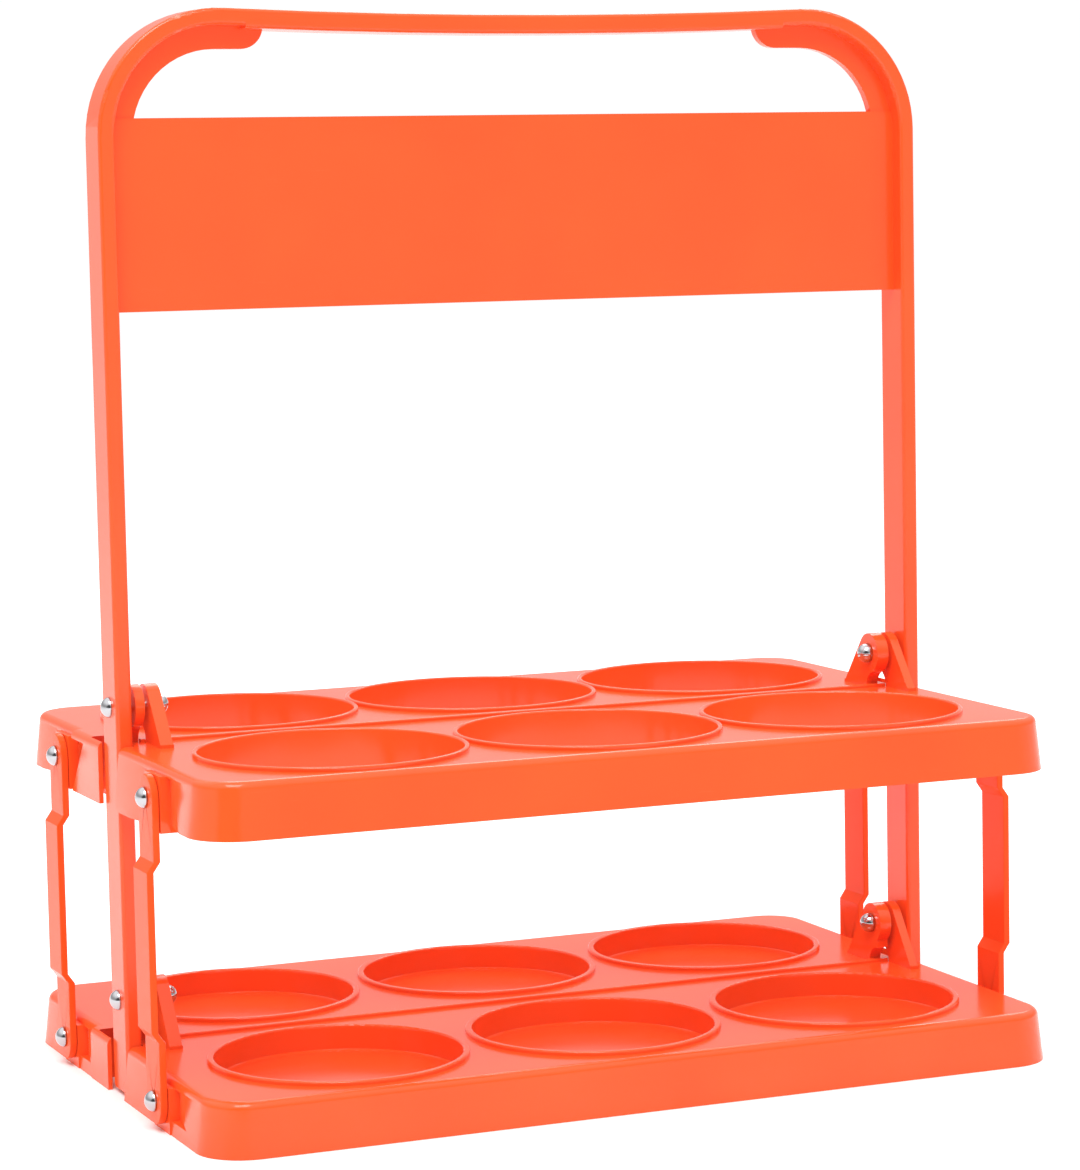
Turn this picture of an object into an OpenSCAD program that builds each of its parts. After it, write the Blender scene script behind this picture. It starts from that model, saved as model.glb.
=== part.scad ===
// Folding six pack carrier: two moulded trays, a carrying handle that stands between them
// and four side links that keep the upper tray level while the handle folds down.
// Millimetres. X runs along the trays, +Y to the rear and +Z up. The origin is the centre
// of the lower tray's underside.

/* [Trays] */
// Length of each tray along its lower edge
tray_len = 272.8; // [262:0.1:300]
// Width of each tray along its lower edge
tray_wid = 186.6; // [180:0.1:220]
// Height of the lower tray's deck above the ground
lower_tray_h = 16; // [14:0.1:22]
// Height of the upper tray, from its skirt to its deck
upper_tray_h = 16.5; // [15:0.1:22]
// Corner radius of the trays in plan
tray_corner_r = 15; // [10:0.5:22]
// How far each side leans in from its lower edge to the deck
tray_draft = 1.8; // [0.5:0.1:2.4]
// Rounding of the edge between the sides and the deck
deck_edge_r = 2.4; // [1:0.1:3]
// Rounding of the same edge inside the tray
deck_inner_r = 1.2; // [0.4:0.1:1.6]
// Thickness of the sides
wall = 2; // [1.4:0.1:2.4]
// Thickness of the deck
deck_t = 2; // [1.4:0.1:3]
// Extra depth of the upper tray's ends between the links
skirt_dip = 2.4; // [1:0.1:4]
// Height of the ridge along the middle of each deck
ridge_h = 1; // [0.5:0.1:1.5]
// Width of the ridge along the middle of each deck
ridge_w = 2.4; // [1.5:0.1:4]

/* [Bottle holes] */
// Distance between holes along the tray
hole_pitch_x = 82; // [82:0.1:84]
// Distance between the two rows of holes
hole_pitch_y = 94.8; // [90:0.1:100]
// Bore of the holes in the upper tray
hole_d = 78.4; // [70:0.1:78.4]
// Wall of the collars round the upper holes
collar_t = 1.45; // [1:0.05:1.6]
// Depth of the upper collars below the deck
collar_drop = 13.5; // [8:0.1:14]
// Bore of the wells in the lower tray
well_d = 73.6; // [66:0.1:75]
// Wall of the wells
well_t = 2.05; // [1.4:0.05:2.4]
// Depth of the wells below their rims
well_depth = 8; // [5:0.1:10]
// Height of all the rims above the decks
rim_h = 1.3; // [1:0.1:2]
// Rounding of the top of the rims
rim_round = 0.6; // [0.3:0.05:0.65]
// Fillet between the wall and the floor of a well
well_fillet = 1.2; // [0.6:0.1:2]

/* [Handle] */
// Distance from the tray's end to the outer face of a leg
leg_inset = 1.4; // [1.2:0.1:1.8]
// Thickness of the legs
leg_t = 5; // [4:0.1:5.2]
// Width of the legs and the grip, front to back
leg_w = 14.8; // [12:0.1:15]
// Height of the legs' lower ends above the ground
leg_floor_gap = 1.5; // [1:0.1:4]
// Rounding of the legs' rear lower corners
leg_toe_r = 3; // [1:0.1:5]
// Overall height to the top of the bends
handle_h = 324.5; // [300:0.5:360]
// Outer radius of the bends between the legs and the grip
bend_r = 38; // [30:0.5:45]
// How far the middle of the grip hangs below its ends
grip_sag = 2; // [1:0.1:5]
// Thickness of the grip
grip_t = 5.8; // [5:0.1:8]
// Rounding along the edges of the legs and the grip
strap_round = 1.2; // [0.5:0.1:2]
// Height of the panel between the legs
panel_h = 57; // [40:0.5:70]
// Distance from the top of the bends to the top of the panel
panel_drop = 32.2; // [31:0.1:36]
// Thickness of the panel
panel_t = 4; // [3:0.1:6]
// Width of the webs that stiffen the bends
web_w = 7; // [4:0.1:9]
// Thickness of the webs
web_t = 3; // [2:0.1:4]
// Length of each web along the grip, past the bend
web_run = 8.4; // [6:0.1:12]

/* [Linkage] */
// Height of the links' lower pivots above the ground
lower_pivot_h = 8.84; // [8.4:0.02:10]
// Height of the links' upper pivots above the upper tray's skirt
upper_pivot_h = 7.36; // [7:0.02:9]
// Distance between the two pivots of a link
link_len = 88.76; // [80:0.01:110]
// Distance of the link pivots from the middle of the tray, front to back
link_y = 47.4; // [46:0.1:50]
// Height of the handle's pivots above the links' pivots
handle_pivot_rise = 20.26; // [19.5:0.02:22]
// Width of a link
link_w = 13.7; // [11:0.1:14]
// Thickness of a link
link_t = 2.1; // [1.5:0.1:2.6]
// How far the middle of a link stands out from its ends
link_step = 2.1; // [1.8:0.1:3]
// Distance from a link's pivot to where it starts to step out
link_step_at = 18; // [12:0.5:24]
// Length of the sloping part of the step
link_step_len = 3; // [2:0.5:6]
// How far the handle folds forwards, in degrees
fold_max = 40; // [20:1:42]

/* [Hinge brackets] */
// Radius of the eye that a handle pivot turns in
eye_r = 6.4; // [5:0.1:6.8]
// Thickness of the web next to the leg
outer_web_t = 2.8; // [2:0.1:3.4]
// Thickness of the web further in
inner_web_t = 4; // [3:0.1:5]
// Gap on each side of the outer web, towards the leg and towards the inner web
web_gap = 1.4; // [0.3:0.1:1.6]
// Distance of each web's foot from the pivot, front to back
foot_reach = 17; // [13:0.1:20]
// Radius of the arch under each web
arch_r = 5.3; // [4.5:0.1:5.6]
// Distance of the foot's near edge from the pivot
foot_near = 1.6; // [1:0.1:2]

/* [Pads and scoops on the tray ends] */
// How far the link pads stand out from the tray's lower edge
pad_proud = 0.3; // [0.2:0.05:0.6]
// Width of a link pad
pad_w = 14.6; // [14.2:0.1:16]
// Depth of the scoops beside the pads
scoop_depth = 3.2; // [2:0.1:3.4]
// Length of the scoops' ramps
scoop_run = 18; // [12:0.5:19]
// Height of the scoops' upper edge below the deck
scoop_top_drop = 2.6; // [2.4:0.1:4]
// Height of the lower tray's scoops above the ground
scoop_floor_h = 4; // [3:0.1:5]

/* [Screws and nuts] */
// Diameter of the screws' shanks
screw_d = 3.5; // [3:0.1:4]
// Diameter of the screw heads
head_d = 6.2; // [5.5:0.1:8]
// Height of the screw heads
head_h = 2.6; // [1.8:0.1:2.7]
// Height of the upright edge round a screw head
head_edge_h = 0.4; // [0.2:0.1:0.8]
// Diameter of the domed nuts on the handle's pivots
cap_nut_d = 6.2; // [5.8:0.1:7]
// Length of the domed nuts
cap_nut_len = 3.5; // [3:0.1:3.6]
// Height of the upright edge round a domed nut
cap_nut_edge_h = 0.8; // [0.4:0.1:1.2]
// Width across the flats of the nuts inside the trays
nut_flats = 6.4; // [5.5:0.1:7]
// Thickness of the nuts inside the trays
nut_t = 2.6; // [2:0.1:3.2]
// How far the links' screws stand out of their nuts
screw_tail = 1; // [0.4:0.1:2]

/* [Clearances] */
// Gap between flat faces that slide past each other
slide_gap = 0.2; // [0.15:0.05:0.3]
// Gap between a leg and the wall beside it
leg_gap = 0.3; // [0.2:0.05:0.4]
// Gap between a leg's edges and its notch
notch_gap = 0.4; // [0.3:0.1:1.2]
// Radial gap between a shank and what turns on it
bore_gap = 0.05; // [0.02:0.01:0.1]
// How far the wall outside a folding leg stays behind the link pads
band_gap = 0.05; // [0.05:0.05:0.2]

/* [Hidden] */
$fn = 96;

ORANGE = "orangered";
CHROME = "silver";
// Overlap that keeps a cut from ending flush with a face
cut = 1;
// Overlap that joins two shapes which meet along a curved face
sink = 0.5;
// Step where one stretch of the grip runs into the next
seam = 0.02;

// Heights of the upper tray and of the four rows of pivots
upper_z = lower_pivot_h + link_len - upper_pivot_h;
link_z = [lower_pivot_h, lower_pivot_h + link_len];
handle_z = [link_z[0] + handle_pivot_rise, link_z[1] + handle_pivot_rise];

// Places along X, measured on the right-hand end
tray_end = tray_len / 2;
pad_face = tray_end + pad_proud;
leg_out = tray_end - leg_inset;
leg_in = leg_out - leg_t;
notch_in = leg_in - leg_gap;
outer_web_in = leg_in - web_gap - outer_web_t;
inner_web_in = outer_web_in - web_gap - inner_web_t;
link_in = pad_face + slide_gap;
link_out = link_in + link_t;
scoop_face = pad_face - scoop_depth;
end_liner = scoop_face - wall;
leg_liner = notch_in - wall;
band_face = pad_face - band_gap;
band_in = leg_out + leg_gap;

// Handle outline
bend_x = leg_out - bend_r;
bend_z = handle_h - bend_r;
grip_r = (bend_x * bend_x + grip_sag * grip_sag) / (2 * grip_sag) - bend_r;
grip_z = handle_h - grip_sag + grip_r;
grip_angle = asin(bend_x / (grip_r + bend_r));
web_x = bend_x - web_run;
panel_top = handle_h - panel_drop;

// Half width of the notch that a leg stands in, and where the pads begin
notch_y = leg_w / 2 + notch_gap;
pad_y = link_y - pad_w / 2;
bore_d = screw_d + 2 * bore_gap;

// A length to the nearest thousandth, so that shapes which meet share one edge
function exact(x) = round(x * 1000) / 1000;

// Solid with a rounded plan and leaning sides, h high
module tray_block(len, wid, r, h, lean, edge) {
    slope = sqrt(h * h + lean * lean);
    reach_in = exact(((h - edge) * lean + edge * slope) / h);
    module side(reach) {
        x = reach - reach_in;
        polygon([
            [0, 0], [reach, 0],
            [x + exact(edge * h / slope), h - edge + exact(edge * lean / slope)],
            [x, h - edge], [x, h], [0, h]
        ]);
        translate([x, h - edge]) circle(edge);
    }
    module both_sides(reach) {
        side(reach);
        mirror([1, 0]) side(reach);
    }
    rotate([90, 0, 90]) linear_extrude(len - 2 * r, center = true) both_sides(wid / 2);
    rotate([90, 0, 0]) linear_extrude(wid - 2 * r, center = true) both_sides(len / 2);
    for (turn = [0:3]) {
        sx = turn == 0 || turn == 3 ? 1 : -1;
        sy = turn < 2 ? 1 : -1;
        translate([sx * (len / 2 - r), sy * (wid / 2 - r), 0])
            rotate([0, 0, 90 * turn])
            rotate_extrude(angle = 90) side(r);
    }
}

// The outer shape of a tray
module tray_outside(h) {
    tray_block(tray_len, tray_wid, tray_corner_r, h, tray_draft, deck_edge_r);
}

// The hollow under a tray's deck
module tray_hollow(h) {
    inner_h = h - deck_t + cut;
    translate([0, 0, -cut])
        tray_block(
            tray_len - 2 * wall, tray_wid - 2 * wall, tray_corner_r - wall,
            inner_h, exact(tray_draft * inner_h / h), deck_inner_r
        );
}

// Runs its children at both ends of a tray
module both_ends() {
    children();
    mirror([1, 0, 0]) children();
}

// Runs its children at the six bottle places
module bottle_places() {
    for (x = [-hole_pitch_x, 0, hole_pitch_x], y = [-hole_pitch_y / 2, hole_pitch_y / 2])
        translate([x, y, 0]) children();
}

// A round wall from z0 to z1, with its upper edges rounded
module collar(bore_r, t, z0, z1) {
    rotate_extrude() {
        translate([bore_r, z0]) square([t, z1 - rim_round - z0]);
        translate([bore_r + rim_round, z0]) square([t - 2 * rim_round, z1 - z0]);
        for (x = [bore_r + rim_round, bore_r + t - rim_round])
            translate([x, z1 - rim_round]) circle(rim_round);
    }
}

// A ring that fills the corner between a floor at z and the wall outside it, of radius r
module fillet_ring(r, z, size) {
    rotate_extrude()
        difference() {
            translate([r - size, z]) square(size);
            translate([r - size, z + size]) circle(size);
        }
}

// Pads that the links turn against, on the right-hand end
module link_pads(z0, z1) {
    for (y = [-link_y, link_y])
        translate([end_liner, y - pad_w / 2, z0]) cube([pad_face - end_liner, pad_w, z1 - z0]);
}

// One scoop on the right-hand end: deepest at y, it runs out towards y + run
module scoop(y, run, z0, z1) {
    over = 1 + cut / scoop_depth;
    translate([0, 0, z0])
        linear_extrude(z1 - z0)
        polygon([
            [scoop_face, y], [scoop_face + over * scoop_depth, y],
            [scoop_face + over * scoop_depth, y + over * run]
        ]);
}

// The scoops on the sides of the pads that the folding leg doesn't come near
module free_scoops(z0, z1) {
    scoop(-pad_y - pad_w, -scoop_run, z0, z1);
    scoop(-pad_y, scoop_run, z0, z1);
    scoop(pad_y + pad_w, scoop_run, z0, z1);
}

// The scoop in front of the rear pad where the leg folds close by. Its ramp leans as far
// as the folded leg, whose rear edge passes through y at z.
module leaning_scoop(y, z, z0, z1) {
    mid_z = (z0 + z1) / 2;
    run = (pad_y - y + (mid_z - z) * tan(fold_max)) * cos(fold_max);
    // Twice as far as the scoop's own corners, so that the box alone trims the ramp
    over = 2 * (pad_y - y + z1 - z0) / run;
    intersection() {
        translate([scoop_face, y, z0]) cube([scoop_depth + cut, pad_y - y, z1 - z0]);
        translate([pad_face, y, z])
            rotate([fold_max, 0, 0])
            linear_extrude(2 * over * run, center = true)
            polygon([
                [0, 0], [-over * scoop_depth, over * run],
                [2 * cut, over * run], [2 * cut, 0]
            ]);
    }
}

// Where a leg's rear edge lies when folded, z below its pivot
function folded_edge(z) = z * tan(fold_max) + (leg_w / 2 + leg_gap) / cos(fold_max);

// Room for a leg that goes on below the tray, from z0 up to z1, with its pivot at pivot_z
module leg_sweep_through(pivot_z, z0, z1) {
    translate([notch_in, 0, 0])
        rotate([90, 0, 90])
        linear_extrude(band_in - notch_in)
        polygon([
            [-notch_y, z1], [-notch_y, z0],
            [folded_edge(pivot_z - z0), z0], [folded_edge(pivot_z - z1), z1]
        ]);
}

// Room for a leg that ends inside the tray, its tail reaching back to y
module leg_sweep_tail(pivot_z, y, z0, z1) {
    knee_z = pivot_z - (y - (leg_w / 2 + leg_gap) / cos(fold_max)) / tan(fold_max);
    translate([notch_in, 0, 0])
        rotate([90, 0, 90])
        linear_extrude(band_in - notch_in)
        polygon([
            [-notch_y, z1], [-notch_y, z0], [y, z0],
            [y, knee_z], [folded_edge(pivot_z - z1), z1]
        ]);
}

// The notch in the right-hand end that the leg stands in
module leg_notch(z0, z1) {
    translate([notch_in, -notch_y, z0])
        cube([pad_face - notch_in + cut, 2 * notch_y, z1 - z0]);
}

// Direction from the eye's centre to where the web's outer edge leaves the eye
function tangent_angle(rise) =
    acos(eye_r / sqrt(foot_reach * foot_reach + rise * rise)) - atan2(rise, foot_reach);

// A bracket's web in the Y-Z plane: its foot stands on z = 0 towards +Y, its eye is at rise
module web_outline(rise) {
    arch_x = foot_near - arch_r;
    angle = tangent_angle(rise);
    difference() {
        union() {
            translate([0, rise]) circle(eye_r);
            polygon([
                [arch_x, 0], [foot_reach, 0],
                [eye_r * cos(angle), rise + eye_r * sin(angle)],
                [0, rise], [arch_x, rise - eye_r / 2]
            ]);
            translate([foot_near, -deck_t / 2]) square([foot_reach - foot_near, deck_t]);
        }
        translate([arch_x, 0]) circle(arch_r);
    }
}

// Hinge bracket on the right-hand end of a deck. The outer web stands forward of the pivot
// and the inner web behind it.
module bracket(deck_z, rise) {
    translate([outer_web_in, 0, deck_z])
        rotate([90, 0, 90])
        linear_extrude(outer_web_t)
        mirror([1, 0]) web_outline(rise);
    translate([inner_web_in, 0, deck_z])
        rotate([90, 0, 90])
        linear_extrude(inner_web_t)
        web_outline(rise);
}

// Brackets at both ends, the left-hand one turned half a circle from the right-hand one
module brackets(deck_z, rise) {
    bracket(deck_z, rise);
    rotate([0, 0, 180]) bracket(deck_z, rise);
}

// A round hole along X, from x0 to x1
module hole_x(x0, x1, y, z, d) {
    translate([x0, y, z]) rotate([0, 90, 0]) cylinder(h = x1 - x0, d = d);
}

// Bores at one end of a tray, with its link pivots at pivot_z
module tray_bores(pivot_z) {
    for (y = [-link_y, link_y]) hole_x(end_liner - cut, pad_face + cut, y, pivot_z, bore_d);
    hole_x(inner_web_in - cut, notch_in, 0, pivot_z + handle_pivot_rise, bore_d);
}

// Thicker end wall behind the scoops and the leg's way, on the right-hand end
module end_liners(z0, z1, swing_y) {
    liner_y = pad_y + pad_w + scoop_run;
    translate([leg_liner, -notch_y - wall, z0])
        cube([tray_end - leg_liner, notch_y + 2 * wall + swing_y, z1 - z0]);
    translate([end_liner, -liner_y, z0]) cube([tray_end - end_liner, 2 * liner_y, z1 - z0]);
}

// The wall outside the folding leg, on the right-hand end, with its deck edge rounded
module end_band(z0, h, y1) {
    x = band_face - deck_edge_r;
    run = y1 - notch_y;
    translate([notch_in, notch_y, z0])
        cube([band_face - notch_in, run, h - deck_edge_r - z0]);
    translate([notch_in, notch_y, h - deck_edge_r]) cube([x - notch_in, run, deck_edge_r]);
    translate([x, y1, h - deck_edge_r]) rotate([90, 0, 0]) cylinder(h = run, r = deck_edge_r);
}

// A ridge along the middle of a deck at z, between the hinge brackets
module deck_ridge(z) {
    round_r = ridge_h / 2;
    rotate([90, 0, 90])
        linear_extrude(2 * outer_web_in, center = true) {
            translate([-ridge_w / 2, z - deck_t / 2]) square([ridge_w, deck_t / 2 + round_r]);
            translate([-ridge_w / 2 + round_r, z]) square([ridge_w - 2 * round_r, ridge_h]);
            for (y = [-1, 1])
                translate([y * (ridge_w / 2 - round_r), z + round_r]) circle(round_r);
        }
}

module lower_tray() {
    h = lower_tray_h;
    rim_z = h + rim_h;
    floor_z = rim_z - well_depth;
    well_r = well_d / 2;
    pivot_z = handle_z[0];
    tail = pivot_z - leg_floor_gap;
    swing_y = tail * sin(fold_max) + leg_w / 2 * cos(fold_max) + leg_gap;
    scoop_top = h - scoop_top_drop;
    color(ORANGE)
    difference() {
        union() {
            difference() {
                tray_outside(h);
                tray_hollow(h);
            }
            intersection() {
                tray_outside(h);
                both_ends() end_liners(0, h, swing_y);
            }
            both_ends() {
                link_pads(0, h - deck_edge_r);
                end_band(0, h, swing_y + wall);
            }
            bottle_places() {
                collar(well_r, well_t, 0, rim_z);
                translate([0, 0, floor_z - deck_t]) cylinder(h = deck_t, r = well_r + well_t / 2);
                fillet_ring(well_r + sink, floor_z, well_fillet + sink);
            }
            deck_ridge(h);
            brackets(h, pivot_z - h);
        }
        bottle_places() translate([0, 0, h - deck_t - cut]) cylinder(h = 2 * deck_t, r = well_r);
        both_ends() {
            leg_notch(-cut, h + cut);
            leg_sweep_tail(pivot_z, swing_y, -cut, h + cut);
            free_scoops(scoop_floor_h, scoop_top);
            scoop(pad_y, -(pad_y - swing_y - wall), scoop_floor_h, scoop_top);
            tray_bores(link_z[0]);
        }
    }
}

module upper_tray() {
    h = upper_tray_h;
    hole_r = hole_d / 2;
    pivot_z = upper_pivot_h + handle_pivot_rise;
    swing_y = folded_edge(pivot_z + skirt_dip);
    dip_y = pad_y + pad_w;
    scoop_top = h - scoop_top_drop;
    scoop_y = folded_edge(pivot_z - scoop_top) + wall;
    color(ORANGE)
    translate([0, 0, upper_z])
    difference() {
        union() {
            difference() {
                tray_outside(h);
                tray_hollow(h);
            }
            intersection() {
                tray_outside(h);
                both_ends() end_liners(0, h, swing_y);
            }
            both_ends() {
                translate([end_liner, 0, 0])
                    rotate([90, 0, 90])
                    linear_extrude(tray_end - end_liner)
                    polygon([
                        [-dip_y - skirt_dip, 0], [-dip_y, -skirt_dip],
                        [dip_y, -skirt_dip], [dip_y + skirt_dip, 0]
                    ]);
                translate([leg_liner, -notch_y - wall, -skirt_dip])
                    cube([tray_end - leg_liner, notch_y + 2 * wall + swing_y, skirt_dip]);
                link_pads(-skirt_dip, h - deck_edge_r);
                end_band(-skirt_dip, h, swing_y + wall);
            }
            bottle_places() collar(hole_r, collar_t, h - collar_drop, h + rim_h);
            deck_ridge(h);
            brackets(h, pivot_z - h);
        }
        bottle_places() translate([0, 0, h - deck_t - cut]) cylinder(h = 2 * deck_t, r = hole_r);
        both_ends() {
            leg_notch(-skirt_dip - cut, h + cut);
            leg_sweep_through(pivot_z, -skirt_dip - cut, h + cut);
            free_scoops(-skirt_dip - cut, scoop_top);
            leaning_scoop(scoop_y, scoop_top, -skirt_dip - cut, scoop_top);
            tray_bores(upper_pivot_h);
        }
    }
}

// Cross section of the legs and the grip: t thick along x, w wide along y
module strap_section(t, w) {
    r = strap_round;
    translate([r, -w / 2]) square([t - 2 * r, w]);
    translate([0, r - w / 2]) square([t, w - 2 * r]);
    for (x = [r, t - r], y = [r - w / 2, w / 2 - r]) translate([x, y]) circle(r);
}

// An arc of the grip that reaches angle a to both sides of the middle, from t0 to t1 below
// the grip's top
module grip_arc(a, t0, t1, w) {
    translate([0, 0, grip_z])
        rotate([90, 0, 0])
        rotate([0, 0, 270 - a])
        rotate_extrude(angle = 2 * a, $fn = 1440)
        translate([grip_r + t0, 0]) strap_section(t1 - t0, w);
}

// One leg with its bend, on the right-hand end
module handle_leg() {
    difference() {
        translate([leg_in, 0, leg_floor_gap])
            linear_extrude(bend_z - leg_floor_gap) strap_section(leg_t, leg_w);
        translate([leg_in - cut, leg_w / 2, leg_floor_gap])
            rotate([90, 0, 90])
            linear_extrude(leg_t + 2 * cut)
            difference() {
                translate([-leg_toe_r, -cut]) square([leg_toe_r + cut, leg_toe_r + cut]);
                translate([-leg_toe_r, leg_toe_r]) circle(leg_toe_r);
            }
        for (z = handle_z) hole_x(leg_in - cut, leg_out + cut, 0, z, bore_d);
    }
    translate([bend_x, 0, bend_z])
        rotate([90, 0, 0])
        rotate_extrude(angle = 90 + grip_angle)
        translate([bend_r - leg_t, 0]) strap_section(leg_t, leg_w);
}

// The thin web inside a bend, on the right-hand end, ending in a rounded hook under the grip
module bend_web() {
    outer_r = bend_r - leg_t;
    inner_r = outer_r - web_w;
    rotate([90, 0, 0])
        linear_extrude(web_t, center = true)
        translate([bend_x, bend_z]) {
            intersection() {
                difference() {
                    circle(outer_r + sink);
                    circle(inner_r);
                }
                square(bend_r);
            }
            translate([-web_run, inner_r]) square([web_run, web_w + sink]);
            intersection() {
                translate([-web_run, outer_r]) circle(web_w);
                translate([-web_run - web_w, inner_r]) square([web_w, web_w + sink]);
            }
        }
}

module handle_frame() {
    thick_angle = asin(web_x / grip_r);
    bend_overlap = atan(sink / grip_r);
    color(ORANGE) {
        both_ends() {
            handle_leg();
            bend_web();
        }
        grip_arc(grip_angle + bend_overlap, seam, leg_t - seam, leg_w - 2 * seam);
        grip_arc(thick_angle, leg_t / 2, grip_t, leg_w - seam);
        translate([-leg_in - sink, -panel_t / 2, panel_top - panel_h])
            cube([2 * (leg_in + sink), panel_t, panel_h]);
    }
}

// Turns a piece made on the right-hand end over to the left when end is 0
module on_end(end) {
    mirror([end == 0 ? 1 : 0, 0, 0]) children();
}

// A side link: a flat strip whose middle stands out to pass the handle's screws
module side_link(end, side) {
    y = side == 0 ? -link_y : link_y;
    z0 = link_z[0] - link_w;
    z1 = link_z[1] + link_w;
    bend_lo = link_z[0] + link_step_at;
    bend_hi = link_z[1] - link_step_at;
    path = [
        [0, z0], [0, bend_lo], [link_step, bend_lo + link_step_len],
        [link_step, bend_hi - link_step_len], [0, bend_hi], [0, z1]
    ];
    last = len(path) - 1;
    color(ORANGE)
    on_end(end)
    translate([link_in, y, 0])
    difference() {
        intersection() {
            rotate([90, 0, 0])
                linear_extrude(2 * link_w, center = true)
                polygon(concat(path, [for (i = [last:-1:0]) path[i] + [link_t, 0]]));
            translate([-cut, 0, 0])
                rotate([90, 0, 90])
                linear_extrude(link_t + link_step + 2 * cut) {
                    for (z = link_z) translate([0, z]) circle(d = link_w);
                    translate([-link_w / 2, link_z[0]]) square([link_w, link_len]);
                }
        }
        for (z = link_z) hole_x(-cut, link_t + cut, 0, z, bore_d);
    }
}

// A round button of diameter d and height h that stands on x = 0, with an upright edge
// below its dome
module dome_x(d, h, edge_h) {
    rise = h - edge_h;
    sphere_r = (d * d / 4 + rise * rise) / (2 * rise);
    rotate([0, 90, 0])
        rotate_extrude()
        intersection() {
            translate([0, h - sphere_r]) circle(sphere_r);
            square([d / 2, h + cut]);
        }
}

// A domed screw along X: its head stands on x = 0 and its shank runs len inwards
module domed_screw(len) {
    color(CHROME) {
        dome_x(head_d, head_h, head_edge_h);
        translate([-len, 0, 0]) rotate([0, 90, 0]) cylinder(h = len + head_edge_h, d = screw_d);
    }
}

module pivot_screw(end, level) {
    on_end(end)
        translate([leg_out, 0, handle_z[level]])
        domed_screw(leg_out - inner_web_in + slide_gap + cap_nut_len / 2);
}

module cap_nut(end, level) {
    seat = inner_web_in - slide_gap;
    color(CHROME)
    on_end(end)
    translate([seat, 0, handle_z[level]])
    mirror([1, 0, 0])
    difference() {
        dome_x(cap_nut_d, cap_nut_len, cap_nut_edge_h);
        translate([-cut, 0, 0])
            rotate([0, 90, 0])
            cylinder(h = cut + cap_nut_len / 2 + bore_gap, d = bore_d);
    }
}

module link_screw(end, side, level) {
    on_end(end)
        translate([link_out + slide_gap, side == 0 ? -link_y : link_y, link_z[level]])
        domed_screw(link_out + slide_gap - end_liner + nut_t + screw_tail);
}

module link_nut(end, side, level) {
    color(CHROME)
    on_end(end)
    translate([end_liner - nut_t, side == 0 ? -link_y : link_y, link_z[level]])
    rotate([0, 90, 0])
    difference() {
        cylinder(h = nut_t, d = nut_flats / cos(30), $fn = 6);
        translate([0, 0, -cut]) cylinder(h = nut_t + 2 * cut, d = bore_d);
    }
}

ENDS = ["left", "right"];
SIDES = ["front", "rear"];
LEVELS = ["lower", "upper"];

lower_tray();
upper_tray();
handle_frame();
for (e = [0, 1], s = [0, 1])
    side_link(e, s);
for (e = [0, 1], v = [0, 1]) {
    where = str("_", LEVELS[v], "_", ENDS[e]);
    pivot_screw(e, v);
    cap_nut(e, v);
}
for (e = [0, 1], s = [0, 1], v = [0, 1]) {
    where = str("_", LEVELS[v], "_", SIDES[s], "_", ENDS[e]);
    link_screw(e, s, v);
    link_nut(e, s, v);
}
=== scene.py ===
"""Finishes, light and camera for a folding bottle carrier moulded in orange plastic."""

from math import pi, radians

import bpy
from mathutils import Matrix, Vector


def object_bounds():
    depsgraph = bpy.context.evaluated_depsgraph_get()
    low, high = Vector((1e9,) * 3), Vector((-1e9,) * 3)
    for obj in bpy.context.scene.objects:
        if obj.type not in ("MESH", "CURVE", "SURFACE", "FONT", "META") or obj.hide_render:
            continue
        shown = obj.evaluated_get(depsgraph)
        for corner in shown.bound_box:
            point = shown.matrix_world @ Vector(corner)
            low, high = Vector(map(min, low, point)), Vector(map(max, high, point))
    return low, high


bl_info = {
    "name": "Bottle carrier looks",
    "version": (1, 0, 0),
    "blender": (4, 5, 0),
    "location": "View3D > Sidebar > Carrier",
    "description": "Finishes, light and camera for a folding bottle carrier",
    "category": "Object",
}

MM = 0.001

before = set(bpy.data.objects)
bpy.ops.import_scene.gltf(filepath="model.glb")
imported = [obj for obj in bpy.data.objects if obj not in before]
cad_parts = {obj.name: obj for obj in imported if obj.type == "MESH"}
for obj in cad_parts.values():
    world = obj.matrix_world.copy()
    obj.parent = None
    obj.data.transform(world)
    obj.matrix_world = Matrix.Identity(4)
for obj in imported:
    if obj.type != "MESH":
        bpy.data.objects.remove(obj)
CAD_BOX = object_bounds()
OBJECT_HEIGHT = CAD_BOX[1].z - CAD_BOX[0].z

# The columns and rows that nodes are laid out in, and the sockets of a colour mix
NODE_COLUMN = 200
NODE_ROW = 180
MIX_FIRST = 6
MIX_SECOND = 7
MIX_RESULT = 2

# The mould's grain and the slow tone of the flow
GRAIN_DETAIL = 3.0
GRAIN_ROUGHNESS = 0.55
GRAIN_DEPTH = 0.02 * MM
GRAIN_STRENGTH = 0.5
FLOW_SCALE = 20.0
FLOW_DETAIL = 2.0
FLOW_SHARE = 1.5
FLOW_RANGE = (0.3, 0.7)
FLOW_ROUGHENING = 0.05

# Hairline scuffs: the turn and the scale of each direction, and where they show
SCUFF_DIRECTIONS = (
    ((0.0, 0.0, 0.35), (60.0, 1400.0, 1400.0)),
    ((0.0, 0.4, -1.1), (1500.0, 50.0, 1500.0)),
)
SCUFF_DETAIL = 2.0
SCUFF_RANGE = (0.68, 0.78)
SCUFF_PATCH_SCALE = 35.0
SCUFF_PATCH_RANGE = (0.45, 0.65)
SCUFF_ROUGHENING = 0.08
TRAY_SCUFFS = 0.3
HANDLE_SCUFFS = 0.2
LINK_SCUFFS = 0.2

# The plastic itself
PLASTIC_IOR = 1.42
PLASTIC_SHINE = 0.5
LINK_SHINE = 0.1
# Painted glow: a faint red-orange emission that lifts the plastic's shaded faces and recesses
# towards the lit colour
PAINTED_GLOW_COLOUR = (1.0, 0.35, 0.2, 1.0)

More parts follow.
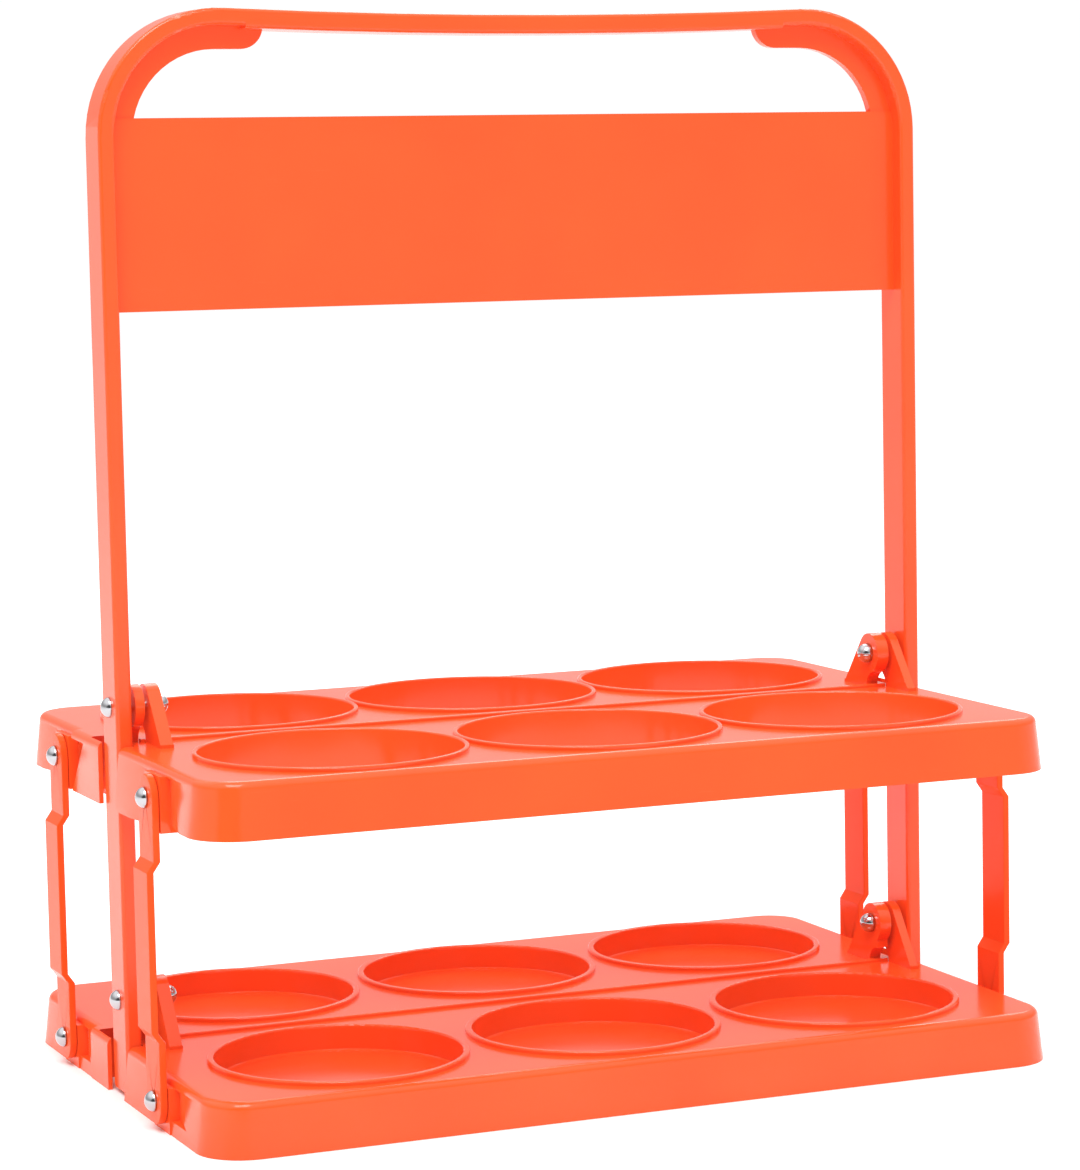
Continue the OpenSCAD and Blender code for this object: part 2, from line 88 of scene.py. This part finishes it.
# Turning rings and scuffs of the plating
RING_CENTRE = (0.0, -0.5, -0.5)
RING_AXES = (0.0, 1.0, 1.0)
RING_SCALE = 6.0
RING_DISTORTION = 0.6
RING_DETAIL = 2.0
RING_DEPTH = 0.02 * MM
RING_STRENGTH = 0.25
RING_ROUGHENING = 0.06
PLATING_SCUFFS = 0.6
PLATING_SCUFF_TONE = 0.85
PLATING_SCUFF_ROUGHENING = 0.2

# The floor's mottling
FLOOR_SCALE = 8.0
FLOOR_DETAIL = 3.0
FLOOR_TONE = 0.985
FLOOR_ROUGHNESS = 0.7

# Edges
WELD_DISTANCE = 0.002 * MM
BEVEL_ANGLE = radians(35)
BEVEL_SEGMENTS = 2
SMOOTH_ANGLE = radians(25)
FLAT_FACE_WEIGHT = 100

# Zones of the sky: the middle of each, and the cosines at which it starts and is full
ABOVE_ZONE = ((0, 0, 1), (0.055, 0.1))
OVERHEAD_ZONE = ((0, 0, 1), (0.3, 0.7))
ROOM_ZONE = ((-0.6, -0.8, 0.12), (0.86, 0.93))
FRONT_ZONE = ((0.387, -0.922, 0), (0.7, 0.95))
SKY_COLOUR = (1.0, 1.0, 1.0, 1.0)

# Soft lights: name, place, size and power in watts
SOFTBOXES = (
    ("key_light", (-0.5, -0.8, 1.7), 0.9, 21.0),
    ("back_light", (0.7, 1.2, 1.2), 1.0, 8.0),
)


# Settings

class MouldedPlasticSettings(bpy.types.PropertyGroup):
    """The orange plastic that the trays, handle and links are moulded in"""

    colour: bpy.props.FloatVectorProperty(
        name="Colour",
        description="Colour of the plastic under even light",
        subtype="COLOR",
        size=3,
        min=0.0,
        max=1.0,
        default=(0.92, 0.086, 0.012),
    )
    deep_colour: bpy.props.FloatVectorProperty(
        name="Deep colour",
        description="Colour of the denser streaks where the plastic flowed",
        subtype="COLOR",
        size=3,
        min=0.0,
        max=1.0,
        default=(0.87, 0.075, 0.01),
    )
    scuffed_colour: bpy.props.FloatVectorProperty(
        name="Scuffed colour",
        description="Paler colour of the fine scuffs",
        subtype="COLOR",
        size=3,
        min=0.0,
        max=1.0,
        default=(0.93, 0.12, 0.03),
    )
    roughness: bpy.props.FloatProperty(
        name="Roughness",
        description="Roughness of the polished faces",
        min=0.0,
        max=1.0,
        default=0.14,
    )
    grain_size: bpy.props.FloatProperty(
        name="Grain size",
        description="Size of the faint grain that the mould leaves",
        unit="LENGTH",
        default=0.9 * MM,
    )
    edge_round: bpy.props.FloatProperty(
        name="Edge rounding",
        description="Rounding of the edges that the mould leaves sharp",
        unit="LENGTH",
        default=0.3 * MM,
    )
    # Painted glow: strength of the emission that lifts the shaded faces of the plastic
    painted_glow: bpy.props.FloatProperty(
        name="Glow",
        description="Strength of the light that the bright pigment gives back",
        min=0.0,
        max=1.0,
        default=0.03,
    )


class PlatedSteelSettings(bpy.types.PropertyGroup):
    """The bright plated steel of the screws and nuts"""

    colour: bpy.props.FloatVectorProperty(
        name="Colour",
        description="Colour of the plating",
        subtype="COLOR",
        size=3,
        min=0.0,
        max=1.0,
        default=(0.5, 0.5, 0.52),
    )
    roughness: bpy.props.FloatProperty(
        name="Roughness",
        description="Roughness of the plating",
        min=0.0,
        max=1.0,
        default=0.08,
    )
    edge_round: bpy.props.FloatProperty(
        name="Edge rounding",
        description="Rounding of the edges of the heads and nuts",
        unit="LENGTH",
        default=0.15 * MM,
    )


class StageSettings(bpy.types.PropertyGroup):
    """The floor, the light and the camera"""

    floor_colour: bpy.props.FloatVectorProperty(
        name="Floor colour",
        description="Colour of the pale floor",
        subtype="COLOR",
        size=3,
        min=0.0,
        max=1.0,
        default=(0.95, 0.95, 0.95),
    )
    floor_width: bpy.props.FloatProperty(
        name="Floor width",
        description="Width of the floor",
        unit="LENGTH",
        default=12.0,
    )
    sky_strength: bpy.props.FloatProperty(
        name="Sky strength",
        description="Strength of the even light from all round",
        min=0.0,
        default=1.02,
    )
    low_sky: bpy.props.FloatProperty(
        name="Low sky",
        description="Share of the light just above the backdrop, which the decks mirror",
        min=0.05,
        max=1.0,
        default=0.56,
    )
    overhead: bpy.props.FloatProperty(
        name="Overhead",
        description="Strength of the light from overhead, as a share of the low sky's",
        min=0.0,
        default=2.6,
    )
    camera_side: bpy.props.FloatProperty(
        name="Camera side",
        description="Share of the light from the room round the camera",
        min=0.0,
        max=1.0,
        default=0.15,
    )
    front_side: bpy.props.FloatProperty(
        name="Front side",
        description="Share of the light that the front walls mirror",
        min=0.0,
        max=1.0,
        default=0.8,
    )
    azimuth: bpy.props.FloatProperty(
        name="Azimuth",
        description="Direction that the camera looks from, counted from the front",
        subtype="ANGLE",
        default=radians(-22.78),
    )
    elevation: bpy.props.FloatProperty(
        name="Elevation",
        description="Height of the camera above the aim, as an angle",
        subtype="ANGLE",
        default=radians(5.78),
    )
    roll: bpy.props.FloatProperty(
        name="Roll",
        description="Turn of the camera about its own view",
        subtype="ANGLE",
        default=radians(-1.11),
    )
    distance: bpy.props.FloatProperty(
        name="Distance",
        description="Distance of the camera from its aim",
        unit="LENGTH",
        default=1.17318,
    )
    aim: bpy.props.FloatVectorProperty(
        name="Aim",
        description="Point at the middle of the picture",
        subtype="TRANSLATION",
        unit="LENGTH",
        size=3,
        default=(0.00524, 0.0, 0.14659),
    )
    lens: bpy.props.FloatProperty(
        name="Lens",
        description="Focal length of the lens, in millimetres",
        min=1.0,
        default=115.66,
    )


# Node helpers

def add_node(tree, kind, place, values=None, **settings):
    """A new node at a column and row of the tree, with its settings and socket values."""
    node = tree.nodes.new(kind)
    node.location = (place[0] * NODE_COLUMN, place[1] * -NODE_ROW)
    for name, value in settings.items():
        setattr(node, name, value)
    for socket, value in (values or {}).items():
        node.inputs[socket].default_value = value
    return node


def shader_group(name, inputs, outputs):
    """An empty shader node group with named inputs and outputs, and its two end nodes."""
    group = bpy.data.node_groups.new(name, "ShaderNodeTree")
    for label, kind, value in inputs:
        socket = group.interface.new_socket(name=label, in_out="INPUT", socket_type=kind)
        if value is not None:
            socket.default_value = value
    for label, kind in outputs:
        group.interface.new_socket(name=label, in_out="OUTPUT", socket_type=kind)
    start = add_node(group, "NodeGroupInput", (0, 0))
    end = add_node(group, "NodeGroupOutput", (8, 0))
    return group, start, end


def noise_at(tree, place, vector, scale, values):
    """A noise texture whose scale is a socket or a number."""
    noise = add_node(tree, "ShaderNodeTexNoise", place, values)
    tree.links.new(vector, noise.inputs["Vector"])
    if isinstance(scale, bpy.types.NodeSocket):
        tree.links.new(scale, noise.inputs["Scale"])
    else:
        noise.inputs["Scale"].default_value = scale
    return noise.outputs["Fac"]


def math_node(tree, place, operation, first, second):
    """A maths node whose two inputs are sockets or numbers."""
    node = add_node(tree, "ShaderNodeMath", place, operation=operation)
    for i, value in enumerate((first, second)):
        if isinstance(value, bpy.types.NodeSocket):
            tree.links.new(value, node.inputs[i])
        else:
            node.inputs[i].default_value = value
    return node.outputs[0]


def ranged(tree, place, value, from_range, to_range):
    """A value taken from one range to another, and held inside it."""
    node = add_node(tree, "ShaderNodeMapRange", place, {
        "From Min": from_range[0],
        "From Max": from_range[1],
        "To Min": to_range[0],
        "To Max": to_range[1],
    })
    tree.links.new(value, node.inputs["Value"])
    return node.outputs["Result"]


def mixed_colour(tree, place, factor, first, second):
    """A mix of two colours, each a socket or a colour."""
    node = add_node(tree, "ShaderNodeMix", place, data_type="RGBA")
    tree.links.new(factor, node.inputs["Factor"])
    for socket, value in ((node.inputs[MIX_FIRST], first), (node.inputs[MIX_SECOND], second)):
        if isinstance(value, bpy.types.NodeSocket):
            tree.links.new(value, socket)
        else:
            socket.default_value = (*value, 1.0)
    return node.outputs[MIX_RESULT]


# Shared effects

def mould_grain_group():
    """The faint uneven skin that a mould leaves on plastic: a height and a slow tone."""
    group, start, end = shader_group(
        "mould_grain",
        [
            ("Vector", "NodeSocketVector", None),
            ("Grain Scale", "NodeSocketFloat", 1000.0),
            ("Flow Scale", "NodeSocketFloat", FLOW_SCALE),
        ],
        [("Height", "NodeSocketFloat"), ("Flow", "NodeSocketFloat")],
    )
    vector = start.outputs["Vector"]
    fine = noise_at(group, (2, 0), vector, start.outputs["Grain Scale"], {
        "Detail": GRAIN_DETAIL,
        "Roughness": GRAIN_ROUGHNESS,
    })
    slow = noise_at(group, (2, 2), vector, start.outputs["Flow Scale"], {"Detail": FLOW_DETAIL})
    waves = math_node(group, (4, 1), "MULTIPLY", slow, FLOW_SHARE)
    group.links.new(math_node(group, (5, 0), "ADD", fine, waves), end.inputs["Height"])
    group.links.new(ranged(group, (5, 2), slow, FLOW_RANGE, (0.0, 1.0)), end.inputs["Flow"])
    return group


def fine_scuffs_group():
    """Short hairline scuffs in two directions, as a mask."""
    group, start, end = shader_group(
        "fine_scuffs",
        [("Vector", "NodeSocketVector", None), ("Amount", "NodeSocketFloat", 0.5)],
        [("Mask", "NodeSocketFloat")],
    )
    vector = start.outputs["Vector"]
    detail = {"Detail": SCUFF_DETAIL}
    masks = []
    for row, (turn, scale) in enumerate(SCUFF_DIRECTIONS):
        mapping = add_node(group, "ShaderNodeMapping", (1, row), {
            "Rotation": turn,
            "Scale": scale,
        })
        group.links.new(vector, mapping.inputs["Vector"])
        streaks = noise_at(group, (2, row), mapping.outputs["Vector"], 1.0, detail)
        masks.append(ranged(group, (3, row), streaks, SCUFF_RANGE, (0.0, 1.0)))
    patches = noise_at(group, (2, 2), vector, SCUFF_PATCH_SCALE, detail)
    where = ranged(group, (3, 2), patches, SCUFF_PATCH_RANGE, (0.0, 1.0))
    both = math_node(group, (4, 0), "MAXIMUM", *masks)
    shown = math_node(group, (5, 0), "MULTIPLY", both, where)
    group.links.new(
        math_node(group, (6, 0), "MULTIPLY", shown, start.outputs["Amount"]), end.inputs["Mask"]
    )
    return group


def group_node(tree, place, group, values=None):
    """A node group placed in a material with its own values."""
    node = add_node(tree, "ShaderNodeGroup", place, node_tree=group)
    for socket, value in (values or {}).items():
        node.inputs[socket].default_value = value
    return node


def new_material(name):
    """An empty material with a Principled shader on its output."""
    material = bpy.data.materials.new(name)
    material.use_nodes = True
    tree = material.node_tree
    tree.nodes.clear()
    shader = add_node(tree, "ShaderNodeBsdfPrincipled", (8, 0))
    output = add_node(tree, "ShaderNodeOutputMaterial", (10, 0))
    tree.links.new(shader.outputs["BSDF"], output.inputs["Surface"])
    return material, tree, shader


def add_bump(tree, shader, height, strength, depth):
    """Bump on a shader, from a height."""
    bump = add_node(tree, "ShaderNodeBump", (6, 3), {"Strength": strength, "Distance": depth})
    tree.links.new(height, bump.inputs["Height"])
    tree.links.new(bump.outputs["Normal"], shader.inputs["Normal"])


# Materials

def plastic_material(name, settings, shared, scuff_amount, shine=PLASTIC_SHINE):
    """Glossy moulded plastic with a faint grain, flow tones and hairline scuffs."""
    material, tree, shader = new_material(name)
    place = add_node(tree, "ShaderNodeTexCoord", (0, 0)).outputs["Object"]
    grain = group_node(tree, (2, 0), shared["mould_grain"], {
        "Grain Scale": 1 / settings.grain_size,
    })
    scuffs = group_node(tree, (2, 2), shared["fine_scuffs"], {"Amount": scuff_amount})
    tree.links.new(place, grain.inputs["Vector"])
    tree.links.new(place, scuffs.inputs["Vector"])
    flow = grain.outputs["Flow"]
    toned = mixed_colour(tree, (4, 0), flow, settings.colour, settings.deep_colour)
    worn = mixed_colour(tree, (5, 0), scuffs.outputs["Mask"], toned, settings.scuffed_colour)
    tree.links.new(worn, shader.inputs["Base Color"])
    rough = (settings.roughness, settings.roughness + FLOW_ROUGHENING)
    base = ranged(tree, (4, 2), flow, (0.0, 1.0), rough)
    scuffed = math_node(tree, (5, 2), "MULTIPLY", scuffs.outputs["Mask"], SCUFF_ROUGHENING)
    tree.links.new(math_node(tree, (6, 2), "ADD", base, scuffed), shader.inputs["Roughness"])
    add_bump(tree, shader, grain.outputs["Height"], GRAIN_STRENGTH, GRAIN_DEPTH)
    shader.inputs["IOR"].default_value = PLASTIC_IOR
    shader.inputs["Specular IOR Level"].default_value = shine
    # Painted glow: a faint emission that keeps the shaded faces and recesses bright and red
    shader.inputs["Emission Color"].default_value = PAINTED_GLOW_COLOUR
    shader.inputs["Emission Strength"].default_value = settings.painted_glow
    return material


def plated_material(name, settings, shared):
    """Bright plating with faint turning rings and a few hairlines."""
    material, tree, shader = new_material(name)
    coordinates = add_node(tree, "ShaderNodeTexCoord", (0, 0))
    centred = add_node(tree, "ShaderNodeMapping", (1, 1), {
        "Location": RING_CENTRE,
        "Scale": RING_AXES,
    })
    tree.links.new(coordinates.outputs["Generated"], centred.inputs["Vector"])
    rings = add_node(tree, "ShaderNodeTexWave", (3, 1), {
        "Scale": RING_SCALE,
        "Distortion": RING_DISTORTION,
        "Detail": RING_DETAIL,
    }, wave_type="RINGS", rings_direction="SPHERICAL")
    tree.links.new(centred.outputs["Vector"], rings.inputs["Vector"])
    scuffs = group_node(tree, (3, 3), shared["fine_scuffs"], {"Amount": PLATING_SCUFFS})
    tree.links.new(coordinates.outputs["Object"], scuffs.inputs["Vector"])
    duller = tuple(PLATING_SCUFF_TONE * c for c in settings.colour)
    tree.links.new(
        mixed_colour(tree, (5, 0), scuffs.outputs["Mask"], settings.colour, duller),
        shader.inputs["Base Color"],
    )
    rough = (settings.roughness, settings.roughness + RING_ROUGHENING)
    ringed = ranged(tree, (5, 1), rings.outputs["Fac"], (0.0, 1.0), rough)
    scuffed = math_node(
        tree, (5, 2), "MULTIPLY", scuffs.outputs["Mask"], PLATING_SCUFF_ROUGHENING
    )
    tree.links.new(math_node(tree, (6, 2), "ADD", ringed, scuffed), shader.inputs["Roughness"])
    add_bump(tree, shader, rings.outputs["Fac"], RING_STRENGTH, RING_DEPTH)
    shader.inputs["Metallic"].default_value = 1.0
    return material


def floor_material(settings):
    """A plain pale sheet with the faintest mottling."""
    material, tree, shader = new_material("pale_floor")
    place = add_node(tree, "ShaderNodeTexCoord", (0, 0)).outputs["Object"]
    mottling = noise_at(tree, (2, 0), place, FLOOR_SCALE, {"Detail": FLOOR_DETAIL})
    darker = tuple(FLOOR_TONE * c for c in settings.floor_colour)
    tree.links.new(
        mixed_colour(tree, (4, 0), mottling, settings.floor_colour, darker),
        shader.inputs["Base Color"],
    )
    shader.inputs["Roughness"].default_value = FLOOR_ROUGHNESS
    return material


def shared_effects():
    """The node groups that several materials use, made once."""
    makers = {"mould_grain": mould_grain_group, "fine_scuffs": fine_scuffs_group}
    return {
        name: bpy.data.node_groups.get(name) or make() for name, make in makers.items()
    }


# Edges

def smooth_by_angle_group():
    """Geometry nodes that shade a mesh smooth, and sharp where its faces meet at an angle."""
    name = "smooth_by_angle"
    if name in bpy.data.node_groups:
        return bpy.data.node_groups[name]
    group = bpy.data.node_groups.new(name, "GeometryNodeTree")
    for end_kind in ("INPUT", "OUTPUT"):
        group.interface.new_socket(
            name="Geometry", in_out=end_kind, socket_type="NodeSocketGeometry"
        )
    start = add_node(group, "NodeGroupInput", (0, 0))
    end = add_node(group, "NodeGroupOutput", (5, 0))
    angle = add_node(group, "GeometryNodeInputMeshEdgeAngle", (1, 2))
    sharp = add_node(group, "FunctionNodeCompare", (2, 2), operation="GREATER_THAN")
    sharp.inputs["B"].default_value = SMOOTH_ANGLE
    kind = "GeometryNodeSetShadeSmooth"
    faces = add_node(group, kind, (2, 0), {"Shade Smooth": True}, domain="FACE")
    edges = add_node(group, kind, (4, 0), {"Shade Smooth": False}, domain="EDGE")
    group.links.new(angle.outputs["Unsigned Angle"], sharp.inputs["A"])
    group.links.new(start.outputs[0], faces.inputs["Geometry"])
    group.links.new(faces.outputs[0], edges.inputs["Geometry"])
    group.links.new(sharp.outputs[0], edges.inputs["Selection"])
    group.links.new(edges.outputs[0], end.inputs[0])
    return group


def round_edges(node, width):
    """Rounds a node's sharp edges and shades its curved faces smooth, with modifiers alone."""
    weld = node.modifiers.new("join_facets", "WELD")
    weld.merge_threshold = WELD_DISTANCE
    bevel = node.modifiers.new("round_edges", "BEVEL")
    bevel.limit_method = "ANGLE"
    bevel.angle_limit = BEVEL_ANGLE
    bevel.width = width
    bevel.segments = BEVEL_SEGMENTS
    bevel.miter_outer = "MITER_ARC"
    shade = node.modifiers.new("shade", "NODES")
    shade.node_group = smooth_by_angle_group()
    flat = node.modifiers.new("flat_faces", "WEIGHTED_NORMAL")
    flat.weight = FLAT_FACE_WEIGHT
    flat.keep_sharp = True


def dress(names, material, edge_round):
    """Gives CAD nodes their material, slot and rounded edges."""
    for name in names:
        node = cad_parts[name]
        node.data.materials.clear()
        node.data.materials.append(material)
        round_edges(node, edge_round)


def names_starting(*starts):
    """The CAD nodes whose names start with one of these words, in order."""
    found = [name for name in sorted(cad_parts) if name.startswith(starts)]
    if not found:
        raise RuntimeError(f"no CAD node starts with {starts}")
    return found


# Operators

class CARRIER_OT_trays(bpy.types.Operator):
    """Finish the lower and the upper tray"""

    bl_idname = "carrier.trays"
    bl_label = "Trays"

    def execute(self, context):
        settings = context.scene.carrier_plastic
        material = plastic_material(
            "orange_tray_plastic", settings, shared_effects(), TRAY_SCUFFS
        )
        dress(["lower_tray", "upper_tray"], material, settings.edge_round)
        return {"FINISHED"}


class CARRIER_OT_handle(bpy.types.Operator):
    """Finish the handle frame"""

    bl_idname = "carrier.handle"
    bl_label = "Handle"

    def execute(self, context):
        settings = context.scene.carrier_plastic
        material = plastic_material(
            "orange_handle_plastic", settings, shared_effects(), HANDLE_SCUFFS
        )
        dress(["handle_frame"], material, settings.edge_round)
        return {"FINISHED"}


class CARRIER_OT_links(bpy.types.Operator):
    """Finish the four side links"""

    bl_idname = "carrier.links"
    bl_label = "Side links"

    def execute(self, context):
        settings = context.scene.carrier_plastic
        material = plastic_material(
            "orange_link_plastic", settings, shared_effects(), LINK_SCUFFS, LINK_SHINE
        )
        links = [f"link_{side}_{end}" for side in ("front", "rear") for end in ("left", "right")]
        dress(links, material, settings.edge_round)
        return {"FINISHED"}


class CARRIER_OT_screws(bpy.types.Operator):
    """Finish the domed screws"""

    bl_idname = "carrier.screws"
    bl_label = "Screws"

    def execute(self, context):
        settings = context.scene.carrier_plating
        material = plated_material("bright_screw_plating", settings, shared_effects())
        names = names_starting("pivot_screw", "link_screw")
        dress(names, material, settings.edge_round)
        return {"FINISHED"}


class CARRIER_OT_nuts(bpy.types.Operator):
    """Finish the domed nuts and the plain nuts"""

    bl_idname = "carrier.nuts"
    bl_label = "Nuts"

    def execute(self, context):
        settings = context.scene.carrier_plating
        material = plated_material("bright_nut_plating", settings, shared_effects())
        names = names_starting("cap_nut", "link_nut")
        dress(names, material, settings.edge_round)
        return {"FINISHED"}


def build_floor(settings):
    """A wide flat floor at the object's foot."""
    half = settings.floor_width / 2
    corners = [(-half, -half, 0), (half, -half, 0), (half, half, 0), (-half, half, 0)]
    mesh = bpy.data.meshes.new("floor")
    mesh.from_pydata(corners, [], [(0, 1, 2, 3)])
    mesh.materials.append(floor_material(settings))
    floor = bpy.data.objects.new("floor", mesh)
    floor.location.z = CAD_BOX[0].z
    bpy.context.scene.collection.objects.link(floor)


def sky_zone(tree, row, direction, zone, level):
    """A factor that goes from 1 outside a zone of the sky to level inside it."""
    towards, edge = zone
    dot = add_node(tree, "ShaderNodeVectorMath", (1, row), operation="DOT_PRODUCT")
    tree.links.new(direction, dot.inputs[0])
    dot.inputs[1].default_value = Vector(towards).normalized()
    return ranged(tree, (2, row), dot.outputs["Value"], edge, (1.0, level))


def build_sky(settings):
    """White light from all round, weaker just above the backdrop and round the camera."""
    world = bpy.data.worlds.new("studio")
    world.use_nodes = True
    tree = world.node_tree
    direction = add_node(tree, "ShaderNodeTexCoord", (0, 0)).outputs["Generated"]
    above = sky_zone(tree, 0, direction, ABOVE_ZONE, settings.low_sky)
    overhead = sky_zone(tree, 1, direction, OVERHEAD_ZONE, settings.overhead)
    room = sky_zone(tree, 2, direction, ROOM_ZONE, settings.camera_side)
    front = sky_zone(tree, 3, direction, FRONT_ZONE, settings.front_side)
    both = math_node(tree, (3, 0), "MULTIPLY", above, overhead)
    sides = math_node(tree, (3, 2), "MULTIPLY", room, front)
    level = math_node(tree, (4, 0), "MULTIPLY", both, sides)
    strength = math_node(tree, (5, 0), "MULTIPLY", level, settings.sky_strength)
    background = tree.nodes["Background"]
    background.inputs["Color"].default_value = SKY_COLOUR
    tree.links.new(strength, background.inputs["Strength"])
    bpy.context.scene.world = world


def build_softbox(name, place, size, power):
    """A square soft light aimed at the middle of the object."""
    light = bpy.data.lights.new(name, "AREA")
    light.shape = "SQUARE"
    light.size = size
    light.energy = power
    lamp = bpy.data.objects.new(name, light)
    lamp.location = place
    aim = Vector((0, 0, OBJECT_HEIGHT / 2)) - Vector(place)
    lamp.rotation_euler = aim.to_track_quat("-Z", "Y").to_euler()
    bpy.context.scene.collection.objects.link(lamp)


def build_camera(settings):
    """The camera, at the reference picture's view."""
    data = bpy.data.cameras.new("camera")
    data.lens = settings.lens
    camera = bpy.data.objects.new("camera", data)
    turn = (
        Matrix.Rotation(settings.azimuth, 4, "Z")
        @ Matrix.Rotation(pi / 2 - settings.elevation, 4, "X")
        @ Matrix.Rotation(settings.roll, 4, "Z")
    )
    back = turn @ Vector((0, 0, settings.distance))
    camera.matrix_world = Matrix.Translation(Vector(settings.aim) + back) @ turn
    bpy.context.scene.collection.objects.link(camera)
    bpy.context.scene.camera = camera


class CARRIER_OT_stage(bpy.types.Operator):
    """Build the floor, the light and the camera"""

    bl_idname = "carrier.stage"
    bl_label = "Stage"

    def execute(self, context):
        settings = context.scene.carrier_stage
        build_floor(settings)
        build_sky(settings)
        for softbox in SOFTBOXES:
            build_softbox(*softbox)
        build_camera(settings)
        context.scene.view_settings.view_transform = "Standard"
        return {"FINISHED"}


STEPS = (
    CARRIER_OT_trays,
    CARRIER_OT_handle,
    CARRIER_OT_links,
    CARRIER_OT_screws,
    CARRIER_OT_nuts,
    CARRIER_OT_stage,
)


class CARRIER_PT_panel(bpy.types.Panel):
    """Lists the steps and their settings"""

    bl_idname = "CARRIER_PT_panel"
    bl_label = "Bottle carrier"
    bl_space_type = "VIEW_3D"
    bl_region_type = "UI"
    bl_category = "Carrier"

    def draw(self, context):
        layout = self.layout
        for step in STEPS:
            layout.operator(step.bl_idname)
        for settings in SETTINGS:
            box = layout.box()
            owner = getattr(context.scene, settings)
            for name in SETTINGS[settings].__annotations__:
                box.prop(owner, name)


SETTINGS = {
    "carrier_plastic": MouldedPlasticSettings,
    "carrier_plating": PlatedSteelSettings,
    "carrier_stage": StageSettings,
}
CLASSES = (*SETTINGS.values(), *STEPS, CARRIER_PT_panel)


def register():
    for cls in CLASSES:
        bpy.utils.register_class(cls)
    for name, cls in SETTINGS.items():
        setattr(bpy.types.Scene, name, bpy.props.PointerProperty(type=cls))


def unregister():
    for name in SETTINGS:
        delattr(bpy.types.Scene, name)
    for cls in reversed(CLASSES):
        bpy.utils.unregister_class(cls)


def run_step(step):
    """Calls one operator by its name, and stops the script if it doesn't finish."""
    area, name = step.bl_idname.split(".")
    if getattr(getattr(bpy.ops, area), name)() != {"FINISHED"}:
        raise RuntimeError(f"{step.bl_label} didn't finish")


def main():
    register()
    for step in STEPS:
        run_step(step)


if __name__ == "__main__":
    main()
